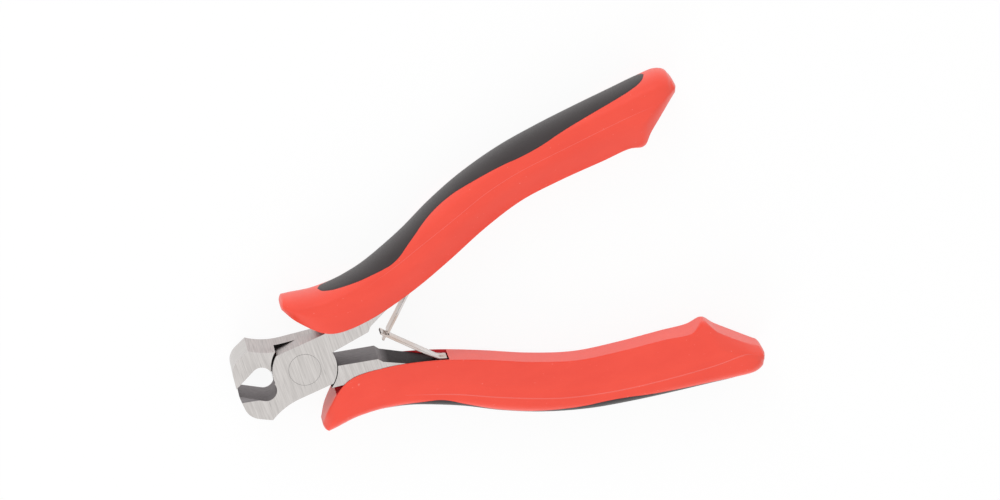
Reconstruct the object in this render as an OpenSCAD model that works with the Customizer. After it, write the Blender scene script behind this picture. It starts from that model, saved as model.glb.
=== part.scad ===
// End cutting nippers: two forged halves lapped on a flush rivet, moulded two-part grips on their tangs
// and a pair of interlocking leaf springs that hold the handles open.
// The pivot axis is Z and X runs along the mid-line toward the handles. The origin lies on the pivot axis,
// on the lower ground face of the joint. Each half is drawn with its tang on the +Y side, about the pivot's
// middle, and the lower side is the upper side turned half a turn about X.

/* [Head] */
// Thickness of the jaws, the lap joint and the tang roots
head_t = 10.4; // [9:0.1:11]
// Radius of the round laps of the joint
joint_r = 7.3; // [6.8:0.05:7.8]
// Distance from the mid-line to the straight sides of the joint
joint_side = 5.75; // [5.4:0.05:6]
// Angle that each half rests open from its drawn place, in degrees
rest_angle = 5.2; // [3:0.1:6]
// Gap between the two laps, along the pivot
lap_gap = 0.08; // [0.04:0.01:0.2]
// Gap between a round lap and the shoulders of the other half
shoulder_gap = 0.2; // [0.1:0.05:0.4]
// Extra relief of a jaw's shoulder, toward the outer side of the jaw
shoulder_relief = 0.7; // [0.4:0.05:0.9]

/* [Jaws] */
// Distance from the pivot to the cutting edges
jaw_reach = 15.95; // [15:0.05:18]
// Distance from the mid-line to the outer corner of a jaw
jaw_h = 7.7; // [6.9:0.05:8]
// Distance from the pivot to the outer corner of a jaw
jaw_corner = 11.35; // [10.8:0.05:12]
// Radius of the round between the front face and the top of a jaw
front_r = 4.1; // [3:0.05:4.4]
// Height above the mid-line where the flat front face ends
front_h = 2.6; // [2:0.05:2.9]
// Distance that a cutting edge passes the mid-line, as drawn
edge_pass = 0.4; // [0:0.05:0.6]
// Angle of the cutting bevel to the mid-line, in degrees
bevel_angle = 33.5; // [31:0.5:36]
// Height of the chamfer at the outer end of a cutting edge
nick_h = 1.4; // [1:0.1:1.6]
// Depth of that chamfer, along the edge
nick_d = 0.9; // [0.5:0.1:1.5]
// Length of the bevel over which that chamfer runs out
nick_l = 4.6; // [4:0.1:5]
// Distance from the pivot to the middle of the round throat
throat_x = 9.85; // [9.8:0.05:10.2]
// Radius of the round throat, which the bevel runs into
throat_r = 2.44; // [2.2:0.02:2.5]
// Distance from the pivot to where the hollow flank runs into the joint's straight side
flank_end = 3.7; // [2:0.1:5]

/* [Tangs] */
// Distance from the mid-line to the inner edge of a tang at the joint
tang_gap = 1.05; // [0.9:0.05:1.5]
// Distance from the pivot to the bend in the inner edge of a tang
bend_x = 16.5; // [15:0.1:18]
// Distance from the mid-line to that bend
bend_h = 1.9; // [1.7:0.05:2.2]
// Size of the short slope after the bend
bend_step = 0.95; // [0.7:0.05:1.1]
// Thickness of the tang root at its far end, inside the grip
root_t = 7.4; // [7:0.1:9]
// Thickness of the tang's core inside the grip
core_t = 6.4; // [5:0.1:7.5]

/* [Grips] */
// Distance from the pivot to the tail end of a grip
grip_l = 101.8; // [97:0.1:108]
// Distance from the mid-line to the back of a grip at its tail, as drawn
grip_reach = 28; // [27:0.1:29]
// Thickness of a grip across its flat sides
grip_t = 13.4; // [13:0.1:14.5]
// Radius of the edges along the back of a grip
back_edge_r = 2.4; // [2:0.1:3]
// Distance across a side from the crease at the inner land to the flat of the side
side_run = 7; // [5:0.1:8]
// Clearance between a grip's pocket and its tang
tang_fit = 0.06; // [0.03:0.01:0.12]
// Height of the hollow mouth between the tang and the guard, ahead of the guard
mouth_h = 2.2; // [1:0.1:3]

/* [Inserts] */
// Depth of the soft insert in the back of a grip
insert_d = 2.4; // [1.8:0.1:2.6]
// Gap round the insert in its seat
insert_gap = 0.06; // [0.03:0.01:0.12]

/* [Leaf springs] */
// Width of a leaf
leaf_w = 4; // [3:0.1:5]
// Thickness of a leaf
leaf_t = 0.5; // [0.4:0.02:0.6]
// Angle of a leaf to the drawn mid-line, in degrees
leaf_angle = 39.7; // [38:0.1:41]
// Length of a leaf's foot on each side of its rivet
foot_half = 1; // [0.9:0.05:1.1]
// Clearance of a leaf's foot to its seat and to the head of its rivet
foot_fit = 0.2; // [0.18:0.01:0.25]
// Width of the tongue of the upper leaf
tongue_w = 1.6; // [1.2:0.1:2]
// Length of the tongue and of the slotted end past the place where the leaves cross
tip_l = 1.5; // [1:0.1:1.8]
// Length of the slot in the lower leaf
slot_l = 1.5; // [1.4:0.05:1.8]
// Clearance on each side of the tongue in the slot
slot_fit = 0.2; // [0.15:0.01:0.3]

/* [Rivets] */
// Radius of the pivot rivet's shank
pivot_r = 2.4; // [2:0.05:2.8]
// Radius of the pivot rivet's flush ends
pivot_head_r = 3.63; // [3.2:0.01:4]
// Depth of the countersinks under the pivot rivet's ends
pivot_sink = 1.3; // [1:0.05:2]
// Radial clearance of a rivet in its bore
rivet_fit = 0.04; // [0.02:0.01:0.08]
// Radius of a spring rivet's shank
pin_r = 0.5; // [0.4:0.02:0.6]
// Radius of a spring rivet's head
pin_head_r = 0.85; // [0.75:0.01:0.9]
// Height of a spring rivet's head
pin_head_h = 0.4; // [0.3:0.02:0.5]
// Depth of a spring rivet's shank in the tang
pin_l = 2.6; // [2:0.1:3]

/* [Hidden] */
$fn = 64;

bright_steel = [0.79, 0.77, 0.76];
spring_steel = [0.85, 0.84, 0.83];
grip_red = [0.95, 0.34, 0.28];
insert_grey = [0.33, 0.32, 0.32];

// One overrun serves every cut that has to pass a face
overrun = 1;
quarter_turn = 90;
// Steps of a drawn arc, of the curves between two rows of a table and of a rounded section corner
arc_steps = 8;
loft_steps = 2;
insert_steps = 3;
corner_steps = 5;

// Stations of the grip: x and y of the back, x and y of the inner land, as shares of grip_l and grip_reach,
// the thickness as a share of grip_t and the land's width as a share of that thickness, from guard to tail
grip_station_shares = [
    [0.020, 0.570, 0.009, 0.507, 0.66, 0.60],
    [0.045, 0.548, 0.023, 0.414, 0.93, 0.68],
    [0.078, 0.522, 0.043, 0.320, 1, 0.76],
    [0.108, 0.507, 0.065, 0.234, 1, 0.82],
    [0.138, 0.498, 0.088, 0.182, 1, 0.84],
    [0.167, 0.500, 0.118, 0.155, 1, 0.82],
    [0.206, 0.516, 0.167, 0.150, 1, 0.79],
    [0.254, 0.561, 0.226, 0.172, 1, 0.72],
    [0.323, 0.642, 0.306, 0.230, 1, 0.65],
    [0.402, 0.758, 0.394, 0.321, 1, 0.59],
    [0.490, 0.858, 0.492, 0.438, 1, 0.57],
    [0.589, 0.929, 0.590, 0.521, 1, 0.57],
    [0.688, 0.961, 0.688, 0.540, 1, 0.57],
    [0.786, 0.976, 0.786, 0.540, 1, 0.57],
    [0.864, 0.983, 0.850, 0.545, 1, 0.58],
    [0.925, 0.990, 0.884, 0.504, 1, 0.60],
    [0.966, 0.990, 0.911, 0.594, 1, 0.56],
    [0.989, 0.962, 0.960, 0.726, 0.95, 0.52],
    [0.999, 0.897, 0.996, 0.830, 0.72, 0.50]
];

// Outline of the insert seen from behind the back: x as a share of grip_l, half width as a share
// of half of grip_t
insert_shares = [
    [0.098, 0.00], [0.110, 0.38], [0.147, 0.68], [0.196, 0.86], [0.265, 0.97], [0.305, 0.95],
    [0.351, 0.79], [0.413, 0.57], [0.464, 0.67], [0.540, 0.84], [0.648, 0.98], [0.738, 0.945],
    [0.827, 0.83], [0.900, 0.73], [0.934, 0.42], [0.948, 0.00]
];

// Edges of a tang past its bend, as shares of grip_l and grip_reach: the inner edge up to the leaf's seat,
// the outer edge of the root, and both edges of the core inside the grip
tang_inner_shares = [[0.216, 0.164], [0.275, 0.238]];
seat_end_shares = [0.324, 0.275];
tang_outer_shares = [[0.295, 0.436], [0.196, 0.336], [0.118, 0.246]];
core_shares = [
    [0.290, 0.318], [0.403, 0.421], [0.511, 0.570], [0.629, 0.650], [0.806, 0.675],
    [0.806, 0.832], [0.629, 0.807], [0.511, 0.736], [0.403, 0.600], [0.290, 0.434]
];
// End of the tang root as a share of grip_l
root_share = 0.314;
// Place of a spring rivet along the seat, from its start to its end
seat_share = 0.53;
// Place across the side's run where its slope turns into the flat
turn_share = 0.75;
// Reach of the insert's cutting prism below the back, as a share of grip_reach
prism_share = 0.6;
// Least thickness of the round left in the middle of a section edge, as a share of its half size
round_share = 0.96;

function on_grip(s) = [s[0] * grip_l, s[1] * grip_reach];
function unit(v) = v / norm(v);

// Smooth curve through the rows of a table, with a straight run-out at both ends
function curve_point(a, b, c, d, t) =
    b + t / 2 * ((c - a) + t * ((2 * a - 5 * b + 4 * c - d) + t * (3 * b - a - 3 * c + d)));
function row(rows, i) =
    i < 0 ? 2 * rows[0] - rows[1]
    : i >= len(rows) ? 2 * rows[len(rows) - 1] - rows[len(rows) - 2]
    : rows[i];
function curve(rows, steps) = [
    for (i = [0 : len(rows) - 2], s = [0 : steps - 1])
        curve_point(row(rows, i - 1), rows[i], rows[i + 1], row(rows, i + 2), s / steps),
    rows[len(rows) - 1]
];
function arc(centre, r, from, to, steps = arc_steps) = [
    for (i = [0 : steps])
        let (a = from + (to - from) * i / steps)
            centre + r * [cos(a), sin(a)]
];

// Outline moved outward by d along its corners, for outlines that run clockwise
function grown(points, d) = [
    for (i = [0 : len(points) - 1])
        let (
            before = unit(points[i] - points[(i + len(points) - 1) % len(points)]),
            after = unit(points[(i + 1) % len(points)] - points[i]),
            n1 = [-before[1], before[0]],
            n2 = [-after[1], after[0]]
        )
            points[i] + d * (n1 + n2) / (1 + n1 * n2)
];

// A jaw above the mid-line: flat front, round shoulder, sharp outer corner, hollow flank and a bevel
// that meets the round throat at a tangent
corner = [-jaw_corner, jaw_h];
front_centre = [front_r - jaw_reach, front_h];
to_corner = corner - front_centre;
front_angle = atan2(to_corner[1], to_corner[0]) + acos(front_r / norm(to_corner));
flank_rise = jaw_h - joint_side;
flank_run = jaw_corner - flank_end;
flank_r = (flank_run * flank_run + flank_rise * flank_rise) / (2 * flank_rise);
flank_centre = [-flank_end, joint_side + flank_r];
flank_angle = asin(flank_run / flank_r);
cutting_edge = [-jaw_reach, -edge_pass];
bevel_rise = tan(bevel_angle) * (jaw_reach - throat_x) - edge_pass;
throat_centre = [-throat_x, bevel_rise - throat_r / cos(bevel_angle)];
bevel_end = throat_centre + throat_r * [-sin(bevel_angle), cos(bevel_angle)];
jaw_outline = concat(
    [cutting_edge],
    arc(front_centre, front_r, 180, front_angle),
    arc(flank_centre, flank_r, 270 - flank_angle, 270),
    [[0, joint_side], [0, 0], [bevel_end[0], 0], bevel_end]
);

// The tang: a full-thickness root with the leaf's seat on its inner edge, and a thinner core in the grip
seat_start = on_grip(tang_inner_shares[1]);
seat_line = on_grip(seat_end_shares) - seat_start;
seat_dir = unit(seat_line);
seat_up = [seat_dir[1], -seat_dir[0]];
root_end = root_share * grip_l;
function on_seat(x) = seat_start + seat_dir * (x - seat_start[0]) / seat_dir[0];
outer_end = on_grip(tang_outer_shares[0]);
outer_dir = unit(outer_end - on_grip(tang_outer_shares[1]));
root_top = outer_end + outer_dir * (root_end - outer_end[0]) / outer_dir[0];
tang_front = [[0, joint_side], [joint_r, joint_side]];
root_outline = concat(
    tang_front,
    [for (i = [len(tang_outer_shares) - 1 : -1 : 0]) on_grip(tang_outer_shares[i])],
    [root_top, on_seat(root_end)],
    [for (i = [len(tang_inner_shares) - 1 : -1 : 0]) on_grip(tang_inner_shares[i])],
    [[bend_x + bend_step, bend_h + bend_step], [bend_x, bend_h], [joint_r, tang_gap], [0, tang_gap]]
);
core_outline = [for (i = [len(core_shares) - 1 : -1 : 0]) on_grip(core_shares[i])];

// The leaf, in the drawn place of its half: foot, knee and straight blade
hinge = seat_start + seat_share * seat_line + (foot_fit + leaf_t / 2) * seat_up;
heel = hinge + foot_half * seat_dir;
knee = hinge - foot_half * seat_dir;
leaf_dir = [-cos(leaf_angle), -sin(leaf_angle)];
// Length from the knee to the mid-line as the half rests open
cross_l = (knee[1] + tan(rest_angle) * knee[0]) / (sin(leaf_angle) + tan(rest_angle) * cos(leaf_angle));
// Shoulders of the tongue stay clear of the slotted leaf as the leaves fold
shoulder_l = tip_l / 2;
blade_up = [sin(leaf_angle), -cos(leaf_angle)];
knee_miter = (seat_up + blade_up) / (1 + seat_up * blade_up);

module pair_up() {
    translate([0, 0, head_t / 2])
        rotate(rest_angle)
            children();
}

module pair_down() {
    translate([0, 0, head_t / 2])
        rotate([180, 0, 0])
            rotate(rest_angle)
                children();
}

module slab(t) {
    translate([0, 0, -t / 2])
        linear_extrude(t)
            children();
}

// The pivot rivet's turned form, grown by a clearance for its bores
module pivot_form(fit) {
    end = head_t / 2 + (fit > 0 ? overrun : 0);
    rotate_extrude()
        polygon([
            [0, -end],
            [pivot_head_r + fit, -end],
            [pivot_head_r + fit, -head_t / 2],
            [pivot_r + fit, pivot_sink - head_t / 2],
            [pivot_r + fit, head_t / 2 - pivot_sink],
            [pivot_head_r + fit, head_t / 2],
            [pivot_head_r + fit, end],
            [0, end]
        ]);
}

// A point on the leaf's seat with Z standing off the seat
module at_seat() {
    place = seat_start + seat_share * seat_line;
    translate([place[0], place[1], 0])
        rotate(atan2(seat_up[1], seat_up[0]))
            rotate([0, 90, 0])
                children();
}

// The chamfer at the outer end of a cutting edge, running out along the bevel of a jaw above the mid-line
module edge_nick() {
    translate([cutting_edge[0], cutting_edge[1], head_t / 2])
        rotate(bevel_angle)
            translate([nick_l, 0, 0])
                rotate(-atan(nick_h / nick_l))
                    rotate([atan(nick_d / nick_h), 0, 0])
                        translate([-2 * nick_l, -2 * nick_h, 0])
                            cube([2 * nick_l, 2 * nick_h, 2 * nick_h]);
}

// The head's thickness up to the bend, then tapering to the end of the tang root, grown by a clearance
module tang_taper(fit) {
    full = head_t / 2 + fit;
    thin = root_t / 2 + fit;
    rotate([quarter_turn, 0, 0])
        linear_extrude(2 * grip_reach, center = true)
            polygon([
                [-jaw_reach, -full], [bend_x, -full], [root_end + overrun, -thin],
                [root_end + overrun, thin], [bend_x, full], [-jaw_reach, full]
            ]);
}

// One half: tang above, jaw below, and its lap on the +Z side
module half() {
    difference() {
        union() {
            slab(head_t) {
                mirror([0, 1])
                    difference() {
                        polygon(jaw_outline);
                        translate(throat_centre)
                            circle(throat_r);
                    }
                intersection() {
                    circle(joint_r);
                    square([2 * joint_r, 2 * joint_side], center = true);
                }
            }
            intersection() {
                slab(head_t)
                    polygon(root_outline);
                tang_taper(0);
            }
            slab(core_t)
                polygon(core_outline);
        }
        for (relief = [0, shoulder_relief])
            translate([0, -relief, lap_gap / 2 - head_t])
                cylinder(h = head_t, r = joint_r + shoulder_gap);
        mirror([0, 1, 0])
            edge_nick();
        pivot_form(rivet_fit);
        at_seat()
            translate([0, 0, -pin_l])
                cylinder(h = pin_l + overrun, r = pin_r + rivet_fit);
    }
}

module front_half() {
    color(bright_steel)
        pair_up()
            half();
}

module rear_half() {
    color(bright_steel)
        pair_down()
            half();
}

module pivot_rivet() {
    color(bright_steel)
        translate([0, 0, head_t / 2])
            pivot_form(0);
}

// A leaf's strip from its heel round the knee, up to a length past the knee
module leaf_strip(l) {
    side = blade_up * leaf_t / 2;
    tip = knee + l * leaf_dir;
    slab(leaf_w)
        polygon([
            heel + seat_up * leaf_t / 2,
            knee + knee_miter * leaf_t / 2,
            tip + side,
            tip - side,
            knee - knee_miter * leaf_t / 2,
            heel - seat_up * leaf_t / 2
        ]);
}

// A box on the blade: its length along the blade from the knee, its width across the blade
module on_blade(from, to, from_w, to_w) {
    translate([knee[0], knee[1], 0])
        rotate(180 + leaf_angle)
            translate([from, -overrun, from_w])
                cube([to - from, 2 * overrun, to_w - from_w]);
}

module foot_hole() {
    at_seat()
        translate([0, 0, -overrun])
            cylinder(h = foot_fit + leaf_t + 2 * overrun, r = pin_r + foot_fit);
}

module upper_leaf_spring() {
    color(spring_steel)
        pair_up()
            difference() {
                leaf_strip(cross_l + tip_l);
                for (side = [0, 1])
                    mirror([0, 0, side])
                        on_blade(cross_l - shoulder_l, cross_l + tip_l + overrun, tongue_w / 2, leaf_w);
                foot_hole();
            }
}

module lower_leaf_spring() {
    slot_w = tongue_w + 2 * slot_fit;
    color(spring_steel)
        pair_down()
            difference() {
                leaf_strip(cross_l + tip_l);
                on_blade(cross_l - slot_l / 2, cross_l + slot_l / 2, -slot_w / 2, slot_w / 2);
                foot_hole();
            }
}

module spring_rivet() {
    at_seat() {
        translate([0, 0, -pin_l])
            cylinder(h = pin_l + leaf_t + 2 * foot_fit, r = pin_r);
        translate([0, 0, leaf_t + 2 * foot_fit])
            cylinder(h = pin_head_h, r1 = pin_head_r, r2 = pin_r);
    }
}

module upper_spring_rivet() {
    color(spring_steel)
        pair_up()
            spring_rivet();
}

module lower_spring_rivet() {
    color(spring_steel)
        pair_down()
            spring_rivet();
}

// A section of the grip at one station, as a ring of points: round at the back, creased at the inner land
function back_corner(x, z, r, from) = [
    for (i = [0 : corner_steps])
        let (a = from + quarter_turn * i / corner_steps)
            [x + r * cos(a), z + r * sin(a)]
];
function side_slope(edge, run, half_land, half_t) = [
    for (i = [0 : corner_steps])
        let (t = i / corner_steps)
            (1 - t) * (1 - t) * [edge + run, half_t]
            + 2 * t * (1 - t) * [edge + turn_share * run, half_t]
            + t * t * [edge, half_land]
];
function section(station) =
    let (
        back = on_grip([station[0], station[1]]),
        inner = on_grip([station[2], station[3]]),
        middle = (back + inner) / 2,
        across = unit(back - inner),
        a = norm(back - inner) / 2,
        b = grip_t / 2 * min(1, station[4]),
        back_r = min(back_edge_r, round_share * min(a, b)),
        slope = side_slope(-a, min(side_run, a), b * station[5], b),
        flat = concat(
            back_corner(a - back_r, b - back_r, back_r, 0),
            slope,
            [for (i = [corner_steps : -1 : 0]) [slope[i][0], -slope[i][1]]],
            back_corner(a - back_r, back_r - b, back_r, -quarter_turn)
        )
    )
        [for (p = flat) [middle[0] + across[0] * p[0], middle[1] + across[1] * p[0], p[1]]];

module grip_form() {
    rings = [for (s = curve(grip_station_shares, loft_steps)) section(s)];
    n = len(rings[0]);
    last = len(rings) - 1;
    polyhedron(
        points = [for (ring = rings) each ring],
        faces = concat(
            [[for (j = [0 : n - 1]) j]],
            [
                for (i = [0 : last - 1], j = [0 : n - 1], side = [0, 1])
                    let (
                        k = (j + 1) % n,
                        here = i * n,
                        next = here + n
                    )
                        side == 0 ? [here + j, next + j, next + k] : [here + j, next + k, here + k]
            ],
            [[for (j = [n - 1 : -1 : 0]) last * n + j]]
        )
    );
}

// The room that an insert takes in the back of its grip, grown by a gap for its seat
module insert_room(gap) {
    half_shape = [for (s = curve(insert_shares, insert_steps)) [s[0] * grip_l, s[1] * grip_t / 2]];
    other_half = [for (i = [len(half_shape) - 2 : -1 : 1]) [half_shape[i][0], -half_shape[i][1]]];
    back = [for (s = curve(grip_station_shares, loft_steps)) on_grip([s[0], s[1]])];
    top = grip_reach + overrun;
    floor_line = [for (p = back) [p[0], p[1] - insert_d - gap]];
    intersection() {
        translate([0, top, 0])
            rotate([90, 0, 0])
                linear_extrude(prism_share * grip_reach)
                    polygon(grown(concat(half_shape, other_half), gap));
        slab(grip_t + overrun)
            polygon(concat(floor_line, [[grip_l, top], [floor_line[0][0], top]]));
    }
}

// The pocket for the tang: an open channel round the root, a closed hole round the core, a hollow mouth
module tang_room() {
    channel_end = root_end + tang_fit;
    outer_bend = on_grip(tang_outer_shares[1]);
    mouth_front = joint_r - 2 * mouth_h;
    intersection() {
        slab(head_t + 2 * tang_fit) {
            polygon(grown(root_outline, tang_fit));
            polygon([
                [joint_r, -overrun],
                [joint_r, joint_side],
                outer_bend,
                [channel_end, outer_bend[1]],
                [channel_end, -overrun]
            ]);
            polygon([
                [mouth_front, joint_side],
                [mouth_front, joint_side + mouth_h],
                on_grip(tang_outer_shares[2]),
                [joint_r, joint_side]
            ]);
        }
        tang_taper(tang_fit);
    }
    slab(core_t + 2 * tang_fit)
        polygon(grown(core_outline, tang_fit));
}

module grip() {
    difference() {
        grip_form();
        tang_room();
        insert_room(insert_gap);
    }
}

module insert() {
    intersection() {
        grip_form();
        insert_room(0);
    }
}

module upper_grip() {
    color(grip_red)
        pair_up()
            grip();
}

module lower_grip() {
    color(grip_red)
        pair_down()
            grip();
}

module upper_grip_insert() {
    color(insert_grey)
        pair_up()
            insert();
}

module lower_grip_insert() {
    color(insert_grey)
        pair_down()
            insert();
}

front_half();
rear_half();
pivot_rivet();
upper_leaf_spring();
lower_leaf_spring();
upper_spring_rivet();
lower_spring_rivet();
upper_grip();
lower_grip();
upper_grip_insert();
lower_grip_insert();
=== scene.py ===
import math

import bmesh
import bpy
import numpy as np
from mathutils import Matrix, Vector
from mathutils.bvhtree import BVHTree


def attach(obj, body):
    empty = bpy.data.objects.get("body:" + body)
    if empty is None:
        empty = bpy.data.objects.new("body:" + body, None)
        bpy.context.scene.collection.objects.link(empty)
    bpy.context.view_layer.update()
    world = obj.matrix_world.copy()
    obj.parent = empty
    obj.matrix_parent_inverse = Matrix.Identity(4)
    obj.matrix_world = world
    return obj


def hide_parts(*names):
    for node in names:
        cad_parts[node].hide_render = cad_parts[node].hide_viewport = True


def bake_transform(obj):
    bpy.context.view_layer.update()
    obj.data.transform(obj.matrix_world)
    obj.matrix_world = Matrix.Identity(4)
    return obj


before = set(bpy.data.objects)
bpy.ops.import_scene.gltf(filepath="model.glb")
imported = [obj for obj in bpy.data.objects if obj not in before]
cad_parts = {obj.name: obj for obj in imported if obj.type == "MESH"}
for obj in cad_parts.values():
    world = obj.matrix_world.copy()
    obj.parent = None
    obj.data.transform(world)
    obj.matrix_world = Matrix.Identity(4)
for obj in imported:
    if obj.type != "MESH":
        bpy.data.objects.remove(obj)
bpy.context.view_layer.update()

MM = 0.001

# Sizes of the drawn half, in millimetres, as in the part's source but for a wider gap at the tang
HEAD_T = 10.4
REST_ANGLE = math.radians(5.2)
JOINT_R = 7.3
JAW_CORNER = 11.35
SHOULDER_GAP = 0.2
SHOULDER_RELIEF = 0.7
LAP_GAP = 0.08
BEND_X = 16.5
ROOT_T = 7.4
ROOT_END = 31.965
CORE_T = 6.4
TANG_FIT = 0.12
GRIP_L = 101.8
GRIP_REACH = 28
GRIP_T = 13.4
BACK_EDGE_R = 2.4
SIDE_RUN = 7
TURN_SHARE = 0.75
ROUND_SHARE = 0.96
INSERT_D = 2.4
INSERT_GAP = 0.06
LEAF_W = 4
LEAF_T = 0.5
LEAF_ANGLE = math.radians(39.7)
FOOT_HALF = 1
FOOT_FIT = 0.2
TONGUE_W = 1.6
TIP_L = 1.5
SLOT_L = 1.5
SLOT_FIT = 0.2
PIN_R = 0.5
PIN_HEAD_R = 0.85
PIN_L = 2.6
PIN_HEAD_H = 0.35
PIN_HEAD_SINK = 0.05
SEAT_START = np.array([27.995, 6.664])
SEAT_END = np.array([32.983, 7.7])
SEAT_SHARE = 0.53
# Outer edge of the tang's root, the front corner of the hollow mouth and the open side of the pockets
TANG_BACK = np.array([[12.01, 6.888], [19.95, 9.408], [30.03, 12.208]])
MOUTH_X = 2.9
MOUTH_Y = 7.95
POCKET_OPEN = -1

# Grip stations from guard to tail: x and y of the back, x and y of the inner land (shares of the grip's
# length and reach), thickness share and width share of the land
GRIP_STATIONS = np.array([
    [0.020, 0.581, 0.009, 0.507, 0.66, 0.60],
    [0.045, 0.555, 0.023, 0.414, 0.93, 0.68],
    [0.078, 0.522, 0.043, 0.320, 1, 0.76],
    [0.108, 0.507, 0.065, 0.234, 1, 0.82],
    [0.138, 0.498, 0.088, 0.182, 1, 0.84],
    [0.167, 0.500, 0.118, 0.155, 1, 0.82],
    [0.206, 0.516, 0.167, 0.150, 1, 0.79],
    [0.254, 0.561, 0.226, 0.172, 1, 0.72],
    [0.323, 0.642, 0.306, 0.230, 1, 0.65],
    [0.402, 0.758, 0.394, 0.321, 1, 0.59],
    [0.490, 0.858, 0.492, 0.438, 1, 0.57],
    [0.589, 0.929, 0.590, 0.521, 1, 0.57],
    [0.688, 0.961, 0.688, 0.540, 1, 0.57],
    [0.786, 0.976, 0.786, 0.540, 1, 0.59],
    [0.864, 0.983, 0.850, 0.545, 1, 0.66],
    [0.925, 0.990, 0.884, 0.490, 1, 0.42],
    [0.966, 0.990, 0.911, 0.594, 1, 0.60],
    [0.989, 0.962, 0.960, 0.726, 0.95, 0.62],
    [0.9965, 0.918, 0.9935, 0.804, 0.80, 0.56],
])
# Edge of the insert: x as a share of the grip's length, and its turn on the round back in degrees
INSERT_EDGE = np.array([
    [0.100, 0], [0.104, 13], [0.110, 22], [0.128, 32], [0.147, 38], [0.166, 44.5], [0.190, 52.5],
    [0.218, 61], [0.250, 73], [0.271, 78], [0.296, 75.5], [0.321, 64], [0.348, 54.5], [0.374, 46],
    [0.402, 41], [0.430, 40], [0.460, 43], [0.490, 49.5], [0.522, 56], [0.556, 62], [0.589, 68],
    [0.622, 74], [0.655, 75.5], [0.688, 73], [0.722, 66.5], [0.755, 61], [0.786, 57], [0.840, 50],
    [0.886, 43.5], [0.907, 39], [0.926, 32], [0.938, 22], [0.944, 11], [0.947, 0],
])
# Core of the tang inside the grip, as shares of the grip's length and reach
CORE_OUTLINE = np.array([
    [0.290, 0.318], [0.403, 0.421], [0.511, 0.570], [0.629, 0.650], [0.806, 0.675],
    [0.806, 0.832], [0.629, 0.807], [0.511, 0.736], [0.403, 0.600], [0.290, 0.434],
]) * [GRIP_L, GRIP_REACH]
# Mould seam on the two sides of a grip, as drawn
SEAM_PATHS = {
    1: [[20.5, 12.0], [29.5, 14.0], [34.4, 15.35], [43.5, 17.75], [51.9, 20.1], [57.2, 21.15],
        [63.6, 21.9], [76.0, 22.4], [88.5, 22.8], [96.3, 22.7]],
    -1: [[20.4, 11.3], [31.3, 14.1], [42.1, 17.85], [54.2, 21.3], [65.5, 22.9],
         [77.0, 23.4], [89.3, 23.2], [96.5, 22.5], [99.0, 23.0]],
}

# Fineness and small roundings that only the looks have, in millimetres
LOFT_STEPS = 8
CORNER_STEPS = 8
BACK_STEPS = 14
CREASE_STEPS = 5
LAND_STEPS = 5
END_TURNS = np.radians([18, 36, 54, 70, 82])
# Rise of the round back over the part's flat one, by place along the grip
CROWN = ([0.02, 0.10, 0.20, 0.97, 1.0], [0.2, 0.3, 0.78, 0.78, 0.5])
# Rounding of the crease at the inner land, by place along the grip: soft at the hook and the tail
CREASE_ROUND = ([0.0, 0.05, 0.80, 0.86, 0.884, 0.905, 0.93, 0.97, 1.0],
                [0.5, 0.35, 0.35, 0.6, 1.7, 0.6, 0.3, 0.5, 1.0])
GUARD_REACH = 0.45
TAIL_REACH = 0.6
END_INSET = 2.6
EDGE_BREAK = 0.13
RIVET_BREAK = 0.05
INSERT_RISE = 0.05
INSERT_SHOULDER = 1.1
# Height over the insert's floor from which a point is on its skin, and the edge that stays where it is
INSERT_SKIN = 0.3
INSERT_EDGE_KEEP = 0.02
SEAM_W = 0.26
SEAM_H = 0.08
SEAM_STEP = 0.6
# Strength of the seam on the two sides of a grip, and the share of its length that fades out at an end
SEAM_SHARES = {1: 0.42, -1: 1}
SEAM_FADE = 0.12
SEAM_LEAST = 0.2
LEAF_BREAK = 0.09
LEAF_STEPS = 28
KNEE_ROUND = 0.8
KNEE_STEPS = 8
FOOT_STEPS = 3

# Edges past these angles stay crisp, in degrees
STEEL_CRISP = 40
GRIP_CRISP = 38
# Points nearer than this are one point, in metres
SAME_POINT = 2e-6
SAME_GRIP_POINT = 5e-7

# Each half is drawn with its tang on the +Y side; the lower one is turned half a turn about X
TO_MODEL = Matrix.Translation((0, 0, HEAD_T / 2 * MM))
HALF_PLACE = {
    "upper": TO_MODEL @ Matrix.Rotation(REST_ANGLE, 4, "Z"),
    "lower": TO_MODEL @ Matrix.Rotation(math.pi, 4, "X") @ Matrix.Rotation(REST_ANGLE, 4, "Z"),
}


# Mesh helpers

def mesh_piece(name, points, faces):
    """A new mesh object from points in metres."""
    mesh = bpy.data.meshes.new(name)
    mesh.from_pydata([tuple(float(v) for v in p) for p in points], [], [tuple(f) for f in faces])
    mesh.update()
    piece = bpy.data.objects.new(name, mesh)
    bpy.context.scene.collection.objects.link(piece)
    return piece


def settle(piece):
    """Turns the modifiers of a piece into its plain mesh."""
    bpy.context.view_layer.update()
    graph = bpy.context.evaluated_depsgraph_get()
    made = bpy.data.meshes.new_from_object(piece.evaluated_get(graph))
    old = piece.data
    piece.modifiers.clear()
    piece.data = made
    bpy.data.meshes.remove(old)
    made.name = piece.name


def carve(piece, cutter, operation="DIFFERENCE"):
    """Cuts a piece with a closed cutter, which is then thrown away."""
    cut = piece.modifiers.new("cut", "BOOLEAN")
    cut.operation = operation
    cut.solver = "EXACT"
    cut.material_mode = "TRANSFER"
    cut.object = cutter
    settle(piece)
    bpy.data.objects.remove(cutter)


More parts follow.
